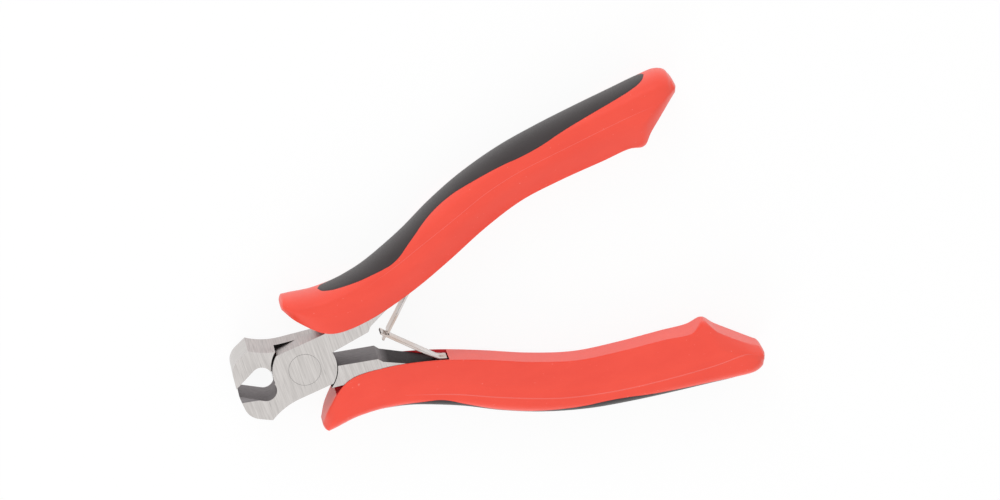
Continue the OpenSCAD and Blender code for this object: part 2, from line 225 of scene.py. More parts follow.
def merge_points(piece, distance=SAME_POINT):
    """Merges points that lie together, and splits the many-sided faces that cuts leave."""
    shape = bmesh.new()
    shape.from_mesh(piece.data)
    bmesh.ops.remove_doubles(shape, verts=shape.verts, dist=distance)
    bmesh.ops.dissolve_degenerate(shape, dist=distance, edges=shape.edges)
    many_sided = [face for face in shape.faces if len(face.verts) > 4]
    bmesh.ops.triangulate(shape, faces=many_sided, ngon_method="BEAUTY")
    shape.to_mesh(piece.data)
    shape.free()


def shade(piece, sharp_degrees):
    """Smooth faces with crisp edges past an angle."""
    piece.data.shade_smooth()
    piece.data.set_sharp_from_angle(angle=math.radians(sharp_degrees))


def weighted_normals(piece):
    """Lets the large faces lead the shading of the small rounds beside them."""
    weigh = piece.modifiers.new("weigh", "WEIGHTED_NORMAL")
    weigh.keep_sharp = True
    weigh.weight = 100
    settle(piece)


def break_edges(piece, width, segments=2, limit_degrees=24):
    """Small round on every edge sharper than the limit."""
    bevel = piece.modifiers.new("edge", "BEVEL")
    bevel.width = width * MM
    bevel.segments = segments
    bevel.limit_method = "ANGLE"
    bevel.angle_limit = math.radians(limit_degrees)
    bevel.use_clamp_overlap = True
    settle(piece)


def place_half(piece, side):
    """Moves a piece from the drawn half to its place in the model."""
    piece.data.transform(HALF_PLACE[side])
    piece.data.update()


def hand_over(piece, body, node):
    """The piece stands for a node, whose own mesh is hidden, and rides on its body."""
    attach(piece, body)
    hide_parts(node)


def smooth_curve(rows, steps):
    """Catmull-Rom curve through the rows of a table, with a straight run-out at both ends."""
    rows = np.asarray(rows, float)
    padded = np.vstack([2 * rows[0] - rows[1], rows, 2 * rows[-1] - rows[-2]])
    made = []
    for i in range(len(rows) - 1):
        a, b, c, d = padded[i:i + 4]
        for s in range(steps):
            t = s / steps
            made.append(b + t / 2 * ((c - a) + t * ((2 * a - 5 * b + 4 * c - d)
                                                    + t * (3 * b - a - 3 * c + d))))
    made.append(rows[-1])
    return np.array(made)


def prism(name, outline, low, high):
    """Closed prism of an outline in X and Y, with its lower and upper height at each corner."""
    n = len(outline)
    points = [(x, y, z) for (x, y), z in zip(outline, low)]
    points += [(x, y, z) for (x, y), z in zip(outline, high)]
    faces = [tuple(range(n - 1, -1, -1)), tuple(range(n, 2 * n))]
    faces += [(i, (i + 1) % n, n + (i + 1) % n, n + i) for i in range(n)]
    piece = mesh_piece(name, np.array(points) * MM, faces)
    face_outward(piece)
    return piece


def face_outward(piece):
    """Turns the faces of a closed piece outward."""
    shape = bmesh.new()
    shape.from_mesh(piece.data)
    bmesh.ops.recalc_face_normals(shape, faces=shape.faces)
    shape.to_mesh(piece.data)
    shape.free()


# Materials

def new_finish(name):
    """An empty material with its shader, and the piece's own coordinates."""
    finish = bpy.data.materials.new(name)
    finish.use_nodes = True
    tree = finish.node_tree
    shader = tree.nodes["Principled BSDF"]
    place = tree.nodes.new("ShaderNodeTexCoord").outputs["Object"]
    return finish, tree, shader, place


def stretched_noise(tree, place, size, detail=3.0, roughness=0.55):
    """Noise whose grain measures the given size in X, Y and Z, in millimetres."""
    mapping = tree.nodes.new("ShaderNodeMapping")
    mapping.inputs["Scale"].default_value = [1 / (s * MM) for s in size]
    tree.links.new(place, mapping.inputs["Vector"])
    noise = tree.nodes.new("ShaderNodeTexNoise")
    noise.inputs["Scale"].default_value = 1
    noise.inputs["Detail"].default_value = detail
    noise.inputs["Roughness"].default_value = roughness
    tree.links.new(mapping.outputs["Vector"], noise.inputs["Vector"])
    return noise.outputs["Fac"]


def ranged(tree, value, low, high, to_low, to_high):
    """A value carried from one range to another, and held at its ends."""
    node = tree.nodes.new("ShaderNodeMapRange")
    node.inputs["From Min"].default_value = low
    node.inputs["From Max"].default_value = high
    node.inputs["To Min"].default_value = to_low
    node.inputs["To Max"].default_value = to_high
    tree.links.new(value, node.inputs["Value"])
    return node.outputs["Result"]


def worked(tree, operation, first, second):
    """One sum of two values; each is a socket or a number."""
    node = tree.nodes.new("ShaderNodeMath")
    node.operation = operation
    for socket, value in zip(node.inputs, (first, second)):
        if isinstance(value, (int, float)):
            socket.default_value = value
        else:
            tree.links.new(value, socket)
    return node.outputs["Value"]


def toned(tree, value, stops):
    """Colours along a value: stops of place and linear colour."""
    ramp = tree.nodes.new("ShaderNodeValToRGB")
    while len(ramp.color_ramp.elements) < len(stops):
        ramp.color_ramp.elements.new(0.5)
    for element, (at, colour) in zip(ramp.color_ramp.elements, stops):
        element.position = at
        element.color = (*colour, 1)
    tree.links.new(value, ramp.inputs["Fac"])
    return ramp.outputs["Color"]


def darkened(tree, colour, factor):
    """A colour times a value."""
    mix = tree.nodes.new("ShaderNodeMix")
    mix.data_type = "RGBA"
    mix.blend_type = "MULTIPLY"
    mix.inputs["Factor"].default_value = 1
    tree.links.new(colour, mix.inputs["A"])
    tree.links.new(factor, mix.inputs["B"])
    return mix.outputs["Result"]


def raised(tree, shader, height, distance, strength):
    """Fine relief of a finish, from a height and its depth in millimetres."""
    bump = tree.nodes.new("ShaderNodeBump")
    bump.inputs["Strength"].default_value = strength
    bump.inputs["Distance"].default_value = distance * MM
    tree.links.new(height, bump.inputs["Height"])
    tree.links.new(bump.outputs["Normal"], shader.inputs["Normal"])


def ground_steel(name, dark, light, across="X"):
    """Steel with fine grinding lines, which vary along one axis, slow bands and a few deeper scratches."""
    finish, tree, shader, place = new_finish(name)

    def lines(width, length, detail):
        return stretched_noise(tree, place, [width if a == across else length for a in "XYZ"], detail)

    fine, broad, scratch = lines(0.18, 6, 2), lines(0.6, 16, 2), lines(0.3, 3.2, 1)
    shades = worked(tree, "ADD", worked(tree, "MULTIPLY", fine, 0.7),
                    worked(tree, "MULTIPLY", broad, 0.3))
    colour = toned(tree, shades, [(0.36, dark), (0.64, light)])
    colour = darkened(tree, colour, ranged(tree, scratch, 0.62, 0.74, 1, 0.88))
    tree.links.new(colour, shader.inputs["Base Color"])
    tree.links.new(ranged(tree, broad, 0.3, 0.7, 0.30, 0.42), shader.inputs["Roughness"])
    shader.inputs["Metallic"].default_value = 1
    raised(tree, shader, fine, 0.02, 0.25)
    return finish


def blackened_steel(name, dark, light, shade_past_bend):
    """Forged skin: dark, grainy, with draw lines along the tang, and painted shade that darkens the run
    past its bend, inside the grip's channel.
    """
    finish, tree, shader, place = new_finish(name)
    grain = stretched_noise(tree, place, (0.35, 0.35, 0.35), detail=5, roughness=0.7)
    draw = stretched_noise(tree, place, (7, 0.3, 0.3), detail=2)
    lines = worked(tree, "ADD", worked(tree, "MULTIPLY", grain, 0.5),
                   worked(tree, "MULTIPLY", draw, 0.5))
    colour = toned(tree, lines, [(0.33, dark), (0.68, light)])
    apart = tree.nodes.new("ShaderNodeSeparateXYZ")
    tree.links.new(place, apart.inputs["Vector"])
    along = apart.outputs["X"]
    # Painted shade: the run past the bend, inside the grip's channel, is made darker
    colour = darkened(tree, colour, ranged(tree, along, BEND_X * MM, (BEND_X + 2) * MM, 1, shade_past_bend))
    colour = darkened(tree, colour, ranged(tree, along, (BEND_X + 2) * MM, ROOT_END * MM,
                                           1, math.sqrt(shade_past_bend)))
    tree.links.new(colour, shader.inputs["Base Color"])
    tree.links.new(ranged(tree, grain, 0.3, 0.7, 0.42, 0.62), shader.inputs["Roughness"])
    shader.inputs["Metallic"].default_value = 1
    shader.inputs["Specular Tint"].default_value = (0.75, 0.72, 0.72, 1)
    raised(tree, shader, grain, 0.05, 0.35)
    return finish


def spring_leaf_steel():
    """Bright rolled strip with lines along its length."""
    finish, tree, shader, place = new_finish("rolled spring strip")
    rolled = stretched_noise(tree, place, (9, 9, 0.12), detail=2)
    blush = stretched_noise(tree, place, (5, 5, 3), detail=1)
    colour = toned(tree, blush, [(0.40, (0.72, 0.67, 0.645)), (0.64, (0.66, 0.53, 0.465))])
    colour = darkened(tree, colour, ranged(tree, rolled, 0.35, 0.65, 0.9, 1))
    tree.links.new(colour, shader.inputs["Base Color"])
    tree.links.new(ranged(tree, rolled, 0.3, 0.7, 0.24, 0.36), shader.inputs["Roughness"])
    shader.inputs["Metallic"].default_value = 1
    raised(tree, shader, rolled, 0.01, 0.2)
    return finish


def moulded_red(name, deep, pale, gloss=0.75):
    """Satin moulded plastic: faint flow shades, fine eroded grain and sparse pale specks."""
    finish, tree, shader, place = new_finish(name)
    flow = stretched_noise(tree, place, (9, 5, 5), detail=3)
    grain = stretched_noise(tree, place, (0.16, 0.16, 0.16), detail=3, roughness=0.6)
    tone = worked(tree, "ADD", worked(tree, "MULTIPLY", flow, 0.7),
                  worked(tree, "MULTIPLY", grain, 0.3))
    speck = stretched_noise(tree, place, (0.5, 0.5, 0.5), detail=0)
    tone = worked(tree, "ADD", worked(tree, "MULTIPLY", tone, 0.9),
                  ranged(tree, speck, 0.81, 0.85, 0, 0.35))
    colour = toned(tree, tone, [(0.27, deep), (0.63, pale), (1, (0.88, 0.20, 0.16))])
    tree.links.new(colour, shader.inputs["Base Color"])
    tree.links.new(ranged(tree, grain, 0.25, 0.75, 0.32, 0.44), shader.inputs["Roughness"])
    shader.inputs["Specular IOR Level"].default_value = gloss
    raised(tree, shader, grain, 0.02, 0.3)
    return finish


def soft_grey():
    """Soft-touch insert: dark, dull, with a slightly pebbled skin."""
    finish, tree, shader, place = new_finish("soft grey")
    pebble = stretched_noise(tree, place, (0.3, 0.3, 0.3), detail=4, roughness=0.6)
    cloud = stretched_noise(tree, place, (6, 4, 4), detail=2)
    tone = worked(tree, "ADD", worked(tree, "MULTIPLY", pebble, 0.4),
                  worked(tree, "MULTIPLY", cloud, 0.6))
    colour = toned(tree, tone, [(0.3, (0.021, 0.017, 0.0175)), (0.7, (0.031, 0.026, 0.0265))])
    tree.links.new(colour, shader.inputs["Base Color"])
    tree.links.new(ranged(tree, pebble, 0.3, 0.7, 0.38, 0.52), shader.inputs["Roughness"])
    shader.inputs["Specular IOR Level"].default_value = 0.52
    shader.inputs["Specular Tint"].default_value = (1, 0.92, 0.93, 1)
    raised(tree, shader, pebble, 0.04, 0.4)
    return finish


GROUND = ground_steel("ground steel", (0.55, 0.523, 0.505), (0.69, 0.66, 0.64))
# The jaw's front takes a lighter copy and the other walls a darker copy of the ground steel: painted light
# and shade by the way they face; the front's lines also run along Z
SHADED_FLANK = ground_steel("ground flank, painted shade", (0.43, 0.386, 0.376), (0.61, 0.56, 0.545))
LIT_JAW_FRONT = ground_steel("ground jaw front, painted light", (0.56, 0.533, 0.515), (0.70, 0.67, 0.65), "Z")
# A dark copy of the ground steel for the small edge rounds: painted shade for the dark lines along the
# edges
BROKEN_EDGE_SHADE = ground_steel("broken edge", (0.16, 0.148, 0.145), (0.30, 0.28, 0.275))
# The forged skin, with painted shade on the tang past its bend
BLACKENED = blackened_steel("blackened steel", (0.19, 0.176, 0.18), (0.36, 0.337, 0.343), 0.16)
# Near-black steel for the lap faces, the walls beside them and the bore: painted shade for the dark gap in
# the joint
LAP_SHADE = blackened_steel("painted lap shade", (0.012, 0.011, 0.011), (0.03, 0.028, 0.028), 1)
STRIP = spring_leaf_steel()
SHEARED = blackened_steel("sheared strip edge", (0.10, 0.085, 0.08), (0.22, 0.19, 0.18), 1)
RED = moulded_red("moulded red", (0.81, 0.045, 0.018), (0.86, 0.057, 0.025))
# A glossless, more saturated copy of the red for the walls of the pockets and of the gap round the insert:
# painted shade and red bounce light
POCKET_SHADE_RED = moulded_red("pocket red, painted shade", (0.85, 0.045, 0.055), (0.90, 0.055, 0.065), 0)
SEAM_RED = moulded_red("seam red", (0.83, 0.105, 0.078), (0.87, 0.125, 0.095))
GREY = soft_grey()


# The two steel halves and their rivet

def node_copy(name, node):
    """A merged copy of a node's mesh, with its flat faces in one piece."""
    piece = bpy.data.objects.new(name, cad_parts[node].data.copy())
    piece.data.name = name
    bpy.context.scene.collection.objects.link(piece)
    piece.data.materials.clear()
    shape = bmesh.new()
    shape.from_mesh(piece.data)
    bmesh.ops.remove_doubles(shape, verts=shape.verts, dist=SAME_POINT)
    bmesh.ops.dissolve_limit(shape, angle_limit=math.radians(0.4), verts=shape.verts,
                             edges=shape.edges)
    shape.to_mesh(piece.data)
    shape.free()
    return piece


STEEL_SKINS = (GROUND, SHADED_FLANK, LIT_JAW_FRONT, BROKEN_EDGE_SHADE, BLACKENED, LAP_SHADE)
# Where the finish of a half changes: the end of its throat, its bore and the height of its round lap,
# how near a face lies to a round wall, and the lean of its flat, broken and bevelled faces
THROAT_END = -6.6
BORE_R = 4.2
LAP_HALF = 5.6
ON_WALL = 0.06
FLAT_LEAN = 0.97
BROKEN_LEAN = 0.3
BEVEL_LEAN = 0.2


def steel_skin(centre, normal):
    """The finish of a face of a drawn half."""
    x, y, z = centre
    radius = math.hypot(x, y)
    wall_r = JOINT_R + SHOULDER_GAP
    off_wall = min(abs(radius - wall_r), abs(math.hypot(x, y + SHOULDER_RELIEF) - wall_r))
    toward_axis = x * normal[0] + y * normal[1] < 0
    # Lap faces at the mid-plane, the walls facing the pivot and the bore take the near-black painted shade
    if normal[2] < -0.9 and abs(z) < 1 and radius < wall_r + 1:
        return LAP_SHADE
    if x < THROAT_END and normal[1] > BEVEL_LEAN:
        return BLACKENED
    if abs(normal[2]) > FLAT_LEAN:
        return GROUND
    # Edge rounds take the dark copy of the ground steel: painted shade
    if abs(normal[2]) > BROKEN_LEAN:
        return BROKEN_EDGE_SHADE
    if (off_wall < ON_WALL and toward_axis and z < LAP_GAP) or radius < BORE_R:
        return LAP_SHADE
    if abs(radius - JOINT_R) < ON_WALL and not toward_axis and abs(y) < LAP_HALF:
        return BLACKENED
    if x > JOINT_R - SHOULDER_GAP:
        return BLACKENED
    # Painted light and shade: the jaw's front gets the lighter copy, the other walls the darker one
    return LIT_JAW_FRONT if x < -JAW_CORNER else SHADED_FLANK


def steel_half(node, side, body):
    """One forged half: its node's form with broken edges, and a finish for each of its faces."""
    piece = node_copy(node + "_steel", node)
    break_edges(piece, EDGE_BREAK)
    shade(piece, STEEL_CRISP)
    weighted_normals(piece)
    for finish in STEEL_SKINS:
        piece.data.materials.append(finish)
    back = HALF_PLACE[side].inverted()
    turn = back.to_3x3()
    for face in piece.data.polygons:
        skin = steel_skin(back @ face.center / MM, turn @ face.normal)
        face.material_index = STEEL_SKINS.index(skin)
    hand_over(piece, body, node)


steel_half("front_half", "upper", "upper_handle")
steel_half("rear_half", "lower", "lower_handle")

pivot = node_copy("pivot_rivet_steel", "pivot_rivet")
break_edges(pivot, RIVET_BREAK)
shade(pivot, STEEL_CRISP)
weighted_normals(pivot)
pivot.data.materials.append(GROUND)
hand_over(pivot, "lower_handle", "pivot_rivet")


# The grips and their inserts

def arc_blend(start, corner, end, shares):
    """Points of the smooth turn from start to end round a corner."""
    t = np.asarray(shares)[:, None]
    return (1 - t) ** 2 * np.array(start) + 2 * t * (1 - t) * np.array(corner) + t * t * np.array(end)


def grip_section(station):
    """Ring of points at a station: round at the back, sloped sides, a soft crease at the inner land."""
    back = station[0:2] * [GRIP_L, GRIP_REACH]
    inner = station[2:4] * [GRIP_L, GRIP_REACH]
    middle = (back + inner) / 2
    half_depth = np.linalg.norm(back - inner) / 2
    across = (back - inner) / (2 * half_depth)
    half_t = GRIP_T / 2 * min(1, station[4])
    half_land = half_t * station[5]
    back_r = min(BACK_EDGE_R, ROUND_SHARE * half_depth)
    crown = np.interp(station[0], *CROWN)
    crease = min(np.interp(station[2], *CREASE_ROUND), half_depth / 3)
    run = min(SIDE_RUN, half_depth)

    turn = np.linspace(0, math.pi / 2, BACK_STEPS + 1)
    corner = np.column_stack([half_depth - back_r + (back_r + crown) * np.cos(turn),
                              half_t * (1 - ROUND_SHARE * (1 - np.sin(turn)))])
    edge = np.array([-half_depth, half_land])
    slope_ends = ((run - half_depth, half_t), (TURN_SHARE * run - half_depth, half_t), edge)
    fine = np.linspace(0, 1, 101)
    left = np.linalg.norm(arc_blend(*slope_ends, fine) - edge, axis=1)
    slope = arc_blend(*slope_ends, np.linspace(0, np.interp(-crease, -left, fine), CORNER_STEPS + 1))
    land = edge - [0, crease]
    rounded = arc_blend(slope[-1], edge, land, np.linspace(0, 1, CREASE_STEPS + 1)[1:])
    side = np.vstack([corner, slope, rounded])
    inner_z = np.linspace(land[1], -land[1], LAND_STEPS + 1)[1:-1]
    ring = np.vstack([side, [(-half_depth, z) for z in inner_z], side[::-1] * [1, -1],
                      [(half_depth + crown, 0)]])
    points = np.column_stack([middle + np.outer(ring[:, 0], across), ring[:, 1]])
    return points, middle, across, half_t


def end_rings(section, outward, reach):
    """Rings that close an end with a soft nose, and its last point."""
    points, middle, across, half_t = section
    u = (points[:, :2] - middle) @ across
    rings = []
    for turn in END_TURNS:
        flat = (middle + np.outer(u * math.cos(turn), across) + outward * reach * math.sin(turn) ** 2)
        inset = END_INSET * (1 - math.cos(turn))
        rings.append(np.column_stack([flat, points[:, 2] * (half_t - inset) / half_t]))
    return rings, np.array([*(middle + outward * reach), 0])


def grip_blank(name):
    """The grip's full form, before its pockets are cut."""
    sections = [grip_section(s) for s in smooth_curve(GRIP_STATIONS, LOFT_STEPS)]
    first, last = sections[0], sections[-1]
    guard_out = np.array([-first[2][1], first[2][0]])
    tail_out = np.array([last[2][1], -last[2][0]])
    guard_rings, guard_tip = end_rings(first, guard_out, GUARD_REACH)
    tail_rings, tail_tip = end_rings(last, tail_out, TAIL_REACH)
    rings = guard_rings[::-1] + [s[0] for s in sections] + tail_rings
    n = len(rings[0])
    points = np.vstack(rings + [guard_tip, tail_tip])
    guard_at, tail_at = n * len(rings), n * len(rings) + 1
    last_ring = n * (len(rings) - 1)
    faces = []
    for j in range(n):
        k = (j + 1) % n
        for base in range(0, last_ring, n):
            faces.append((base + j, base + k, base + n + k, base + n + j))
        faces.append((guard_at, k, j))
        faces.append((tail_at, last_ring + j, last_ring + k))
    piece = mesh_piece(name, points * MM, faces)
    face_outward(piece)
    return piece


def insert_edge():
    """Distances along the grip and the insert's half widths there."""
    curve = smooth_curve(INSERT_EDGE, LOFT_STEPS)
    turn = np.radians(curve[:, 1])
    return curve[:, 0] * GRIP_L, GRIP_T / 2 * (1 - ROUND_SHARE * (1 - np.sin(turn)))


def insert_cutter(gap, finish):
    """The room of the insert: its outline seen from the back, down to a floor that follows the back."""
    x, half_width = insert_edge()
    x[[0, -1]] += [-gap, gap]
    half_width += gap
    stations = smooth_curve(GRIP_STATIONS, LOFT_STEPS)
    back_x, back_y = stations[:, 0] * GRIP_L, stations[:, 1] * GRIP_REACH
    floor = np.interp(x, back_x, back_y) - INSERT_D - gap
    top = np.full_like(floor, GRIP_REACH + 2)
    n = len(x)
    sheets = [np.column_stack([x, level, sign * half_width])
              for level in (floor, top) for sign in (1, -1)]
    points = np.vstack(sheets) * MM
    low_a, low_b, top_a, top_b = (np.arange(n) + n * s for s in range(4))
    faces = []
    for i in range(n - 1):
        faces.append((low_a[i], low_a[i + 1], low_b[i + 1], low_b[i]))
        faces.append((top_a[i], top_b[i], top_b[i + 1], top_a[i + 1]))
        faces.append((low_a[i], top_a[i], top_a[i + 1], low_a[i + 1]))
        faces.append((low_b[i], low_b[i + 1], top_b[i + 1], top_b[i]))
    faces.append((low_a[0], low_b[0], top_b[0], top_a[0]))
    faces.append((low_a[-1], top_a[-1], top_b[-1], low_b[-1]))
    cutter = mesh_piece("insert_room", points, [tuple(int(v) for v in f) for f in faces])
    merge_points(cutter)
    face_outward(cutter)
    cutter.data.materials.append(finish)
    return cutter


def taper_half(x):
    """Half thickness of the tang's room at a distance from the pivot."""
    full, thin = HEAD_T / 2 + TANG_FIT, ROOT_T / 2 + TANG_FIT
    return full + (thin - full) * (x - BEND_X) / (ROOT_END + 1 - BEND_X)


def cut_tang_room(piece):
    """The open channel round the tang's root, the hollow mouth and the hole for its core."""
    run, rise = TANG_BACK[1] - TANG_BACK[0]
    wall = TANG_BACK + [0, TANG_FIT / math.cos(math.atan2(rise, run))]
    bend_wall = np.interp(BEND_X, wall[:, 0], wall[:, 1])
    end = ROOT_END + TANG_FIT
    run, rise = wall[2] - wall[1]
    end_wall = wall[2][1] + (end - wall[2][0]) * rise / run
    front = [(MOUTH_X, POCKET_OPEN), (BEND_X, POCKET_OPEN), (BEND_X, bend_wall), wall[0],
             (MOUTH_X, MOUTH_Y)]
    half = HEAD_T / 2 + TANG_FIT
    pockets = [prism("mouth", front, [-half] * len(front), [half] * len(front))]
    rear = [(BEND_X, POCKET_OPEN), (end, POCKET_OPEN), (end, end_wall), wall[2], wall[1],
            (BEND_X, bend_wall)]
    high = [taper_half(x) for x, y in rear]
    pockets.append(prism("channel", rear, [-h for h in high], high))
    half_core = CORE_T / 2 + TANG_FIT
    pockets.append(prism("core", CORE_OUTLINE, [-half_core] * len(CORE_OUTLINE),
                         [half_core] * len(CORE_OUTLINE)))
    for pocket in pockets:
        # The pocket walls take the copy of the red with painted shade
        pocket.data.materials.append(POCKET_SHADE_RED)
        carve(piece, pocket)


def dome_insert(piece):
    """Lets the insert stand a little proud of the red, rounded over along its outline."""
    edge_x, edge_z = insert_edge()
    stations = smooth_curve(GRIP_STATIONS, LOFT_STEPS)
    shape = bmesh.new()
    shape.from_mesh(piece.data)
    shape.normal_update()
    moves = []
    for vert in shape.verts:
        x, y, z = (v / MM for v in vert.co)
        floor = np.interp(x, stations[:, 0] * GRIP_L, stations[:, 1] * GRIP_REACH) - INSERT_D
        inward = np.interp(x, edge_x, edge_z) - abs(z)
        if y - floor > INSERT_SKIN and inward > INSERT_EDGE_KEEP:
            share = min(1, inward / INSERT_SHOULDER)
            moves.append((vert, vert.normal * INSERT_RISE * MM * (1 - (1 - share) ** 3)))
    for vert, move in moves:
        vert.co += move
    shape.to_mesh(piece.data)
    shape.free()


def grip_pieces(side, body, seam_sweep):
    """A grip with its pockets, its insert and its mould seam."""
    grip = grip_blank(side + "_grip_red")
    insert = grip_blank(side + "_insert_grey")
    grip.data.materials.append(RED)
    insert.data.materials.append(GREY)
    carve(insert, insert_cutter(0, GREY), "INTERSECT")
    # The walls of the gap round the insert take the copy of the red with painted shade
    carve(grip, insert_cutter(INSERT_GAP, POCKET_SHADE_RED))
    cut_tang_room(grip)
    merge_points(insert)
    merge_points(grip, SAME_GRIP_POINT)
    dome_insert(insert)
    seam_route = seam_points(grip)
    for piece, node, slot in ((grip, "_grip", "grip_red"), (insert, "_grip_insert", "insert_grey")):
        place_half(piece, side)
        shade(piece, GRIP_CRISP)
        weighted_normals(piece)
        hand_over(piece, body, side + node)
    seam = seam_ridges(side + "_grip_seams", seam_route, seam_sweep)
    place_half(seam, side)
    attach(seam, body)


def seam_points(grip):
    """The mould seam's route on both sides of a grip, laid on its surface."""
    surface = BVHTree.FromObject(grip, bpy.context.evaluated_depsgraph_get())
    routes = []
    for sign, path in SEAM_PATHS.items():
        starts = [Vector((x * MM, y * MM, sign * GRIP_T * MM)) for x, y in smooth_curve(path, LOFT_STEPS)]
        hits = [surface.ray_cast(start, Vector((0, 0, -sign)))[0] for start in starts]
        routes.append((SEAM_SHARES[sign], [hit for hit in hits if hit]))
    return routes


def seam_tree():
    """Node tree that sweeps a low flat ridge along edges that lie on the sides of a grip."""
    tree = bpy.data.node_groups.new("mould_seam", "GeometryNodeTree")
    face = tree.interface
    face.new_socket("Route", in_out="INPUT", socket_type="NodeSocketGeometry")
    face.new_socket("Ridge size", in_out="INPUT", socket_type="NodeSocketVector")
    face.new_socket("Step length", in_out="INPUT", socket_type="NodeSocketFloat")
    face.new_socket("Finish", in_out="INPUT", socket_type="NodeSocketMaterial")
    face.new_socket("Ridge", in_out="OUTPUT", socket_type="NodeSocketGeometry")
    start = tree.nodes.new("NodeGroupInput")
    end = tree.nodes.new("NodeGroupOutput")
    line = tree.nodes.new("GeometryNodeMeshToCurve")
    even = tree.nodes.new("GeometryNodeResampleCurve")
    even.mode = "LENGTH"
    round_profile = tree.nodes.new("GeometryNodeCurvePrimitiveCircle")
    round_profile.inputs["Resolution"].default_value = 10
    round_profile.inputs["Radius"].default_value = 0.5
    flat_profile = tree.nodes.new("GeometryNodeTransform")
    level = tree.nodes.new("GeometryNodeSetCurveNormal")
    level.mode = "Z_UP"
    share = tree.nodes.new("GeometryNodeInputNamedAttribute")
    share.data_type = "FLOAT"
    share.inputs["Name"].default_value = "ridge"
    sweep = tree.nodes.new("GeometryNodeCurveToMesh")
    sweep.inputs["Fill Caps"].default_value = True
    smooth = tree.nodes.new("GeometryNodeSetShadeSmooth")
    real = tree.nodes.new("GeometryNodeRealizeInstances")
    coat = tree.nodes.new("GeometryNodeSetMaterial")
    for source, target in (
        (start.outputs["Route"], line.inputs["Mesh"]),
        (line.outputs["Curve"], even.inputs["Curve"]),
        (start.outputs["Step length"], even.inputs["Length"]),
        (even.outputs["Curve"], level.inputs["Curve"]),
        (level.outputs["Curve"], sweep.inputs["Curve"]),
        (share.outputs["Attribute"], sweep.inputs["Scale"]),
        (round_profile.outputs["Curve"], flat_profile.inputs["Geometry"]),
        (start.outputs["Ridge size"], flat_profile.inputs["Scale"]),
        (flat_profile.outputs["Geometry"], sweep.inputs["Profile Curve"]),
        (sweep.outputs["Mesh"], smooth.inputs["Geometry"]),
        (smooth.outputs["Geometry"], real.inputs["Geometry"]),
        (real.outputs["Geometry"], coat.inputs["Geometry"]),
        (start.outputs["Finish"], coat.inputs["Material"]),
        (coat.outputs["Geometry"], end.inputs["Ridge"]),
    ):
        tree.links.new(source, target)
    return tree


def set_tree(piece, tree, **values):
    """Runs a node tree on a piece with its named inputs, and keeps the result as a plain mesh."""
    modifier = piece.modifiers.new(tree.name, "NODES")
    modifier.node_group = tree
    for item in tree.interface.items_tree:
        if item.in_out == "INPUT" and item.name in values:
            modifier[item.identifier] = values[item.name]
    settle(piece)


def seam_ridges(name, routes, seam_sweep):
    """The ridges along the routes of a grip's seam, which fade out at their ends."""
    points, edges, shares = [], [], []
    for share, route in routes:
        edges += [(len(points) + i, len(points) + i + 1) for i in range(len(route) - 1)]
        points += route
        along = np.linspace(0, 1, len(route))
        fade = np.minimum(along, 1 - along) / SEAM_FADE
        shares += list(share * np.clip(fade, SEAM_LEAST, 1))
    mesh = bpy.data.meshes.new(name)
    mesh.from_pydata([tuple(p) for p in points], edges, [])
    mesh.attributes.new("ridge", "FLOAT", "POINT").data.foreach_set("value", shares)
    piece = bpy.data.objects.new(name, mesh)
    bpy.context.scene.collection.objects.link(piece)
    set_tree(piece, seam_sweep, **{
        "Ridge size": (SEAM_W * MM, SEAM_H * MM, 1), "Step length": SEAM_STEP * MM, "Finish": SEAM_RED})
    return piece


SEAM_SWEEP = seam_tree()
grip_pieces("upper", "upper_handle", SEAM_SWEEP)
grip_pieces("lower", "lower_handle", SEAM_SWEEP)


# The leaf springs and their rivets

SEAT_DIR = (SEAT_END - SEAT_START) / np.linalg.norm(SEAT_END - SEAT_START)
SEAT_UP = np.array([SEAT_DIR[1], -SEAT_DIR[0]])
PIN_FOOT = SEAT_START + SEAT_SHARE * (SEAT_END - SEAT_START)
HINGE = PIN_FOOT + (FOOT_FIT + LEAF_T / 2) * SEAT_UP
HEEL = HINGE + FOOT_HALF * SEAT_DIR
KNEE = HINGE - FOOT_HALF * SEAT_DIR
LEAF_DIR = np.array([-math.cos(LEAF_ANGLE), -math.sin(LEAF_ANGLE)])
REST_SLOPE = math.tan(REST_ANGLE)
CROSS_L = (KNEE[1] + REST_SLOPE * KNEE[0]) / (
    math.sin(LEAF_ANGLE) + REST_SLOPE * math.cos(LEAF_ANGLE))


def leaf_route(extra):
    """Points along the middle of a leaf from heel to tip, with the given stations on the blade."""
    straight = 1 - KNEE_ROUND / (2 * FOOT_HALF)
    foot = [HEEL + (KNEE - HEEL) * t for t in np.linspace(0, straight, FOOT_STEPS + 1)]
    turn_from = KNEE + SEAT_DIR * KNEE_ROUND
    turn_to = KNEE + LEAF_DIR * KNEE_ROUND
    turn = arc_blend(turn_from, KNEE, turn_to, np.linspace(0, 1, KNEE_STEPS + 1)[1:])
    even = np.linspace(KNEE_ROUND, CROSS_L + TIP_L, LEAF_STEPS)[1:]
    lengths = sorted({round(float(s), 4) for s in [*even, *extra]})
    blade = [(s, KNEE + LEAF_DIR * s) for s in lengths]
    return [(0, p) for p in [*foot, *turn]] + blade


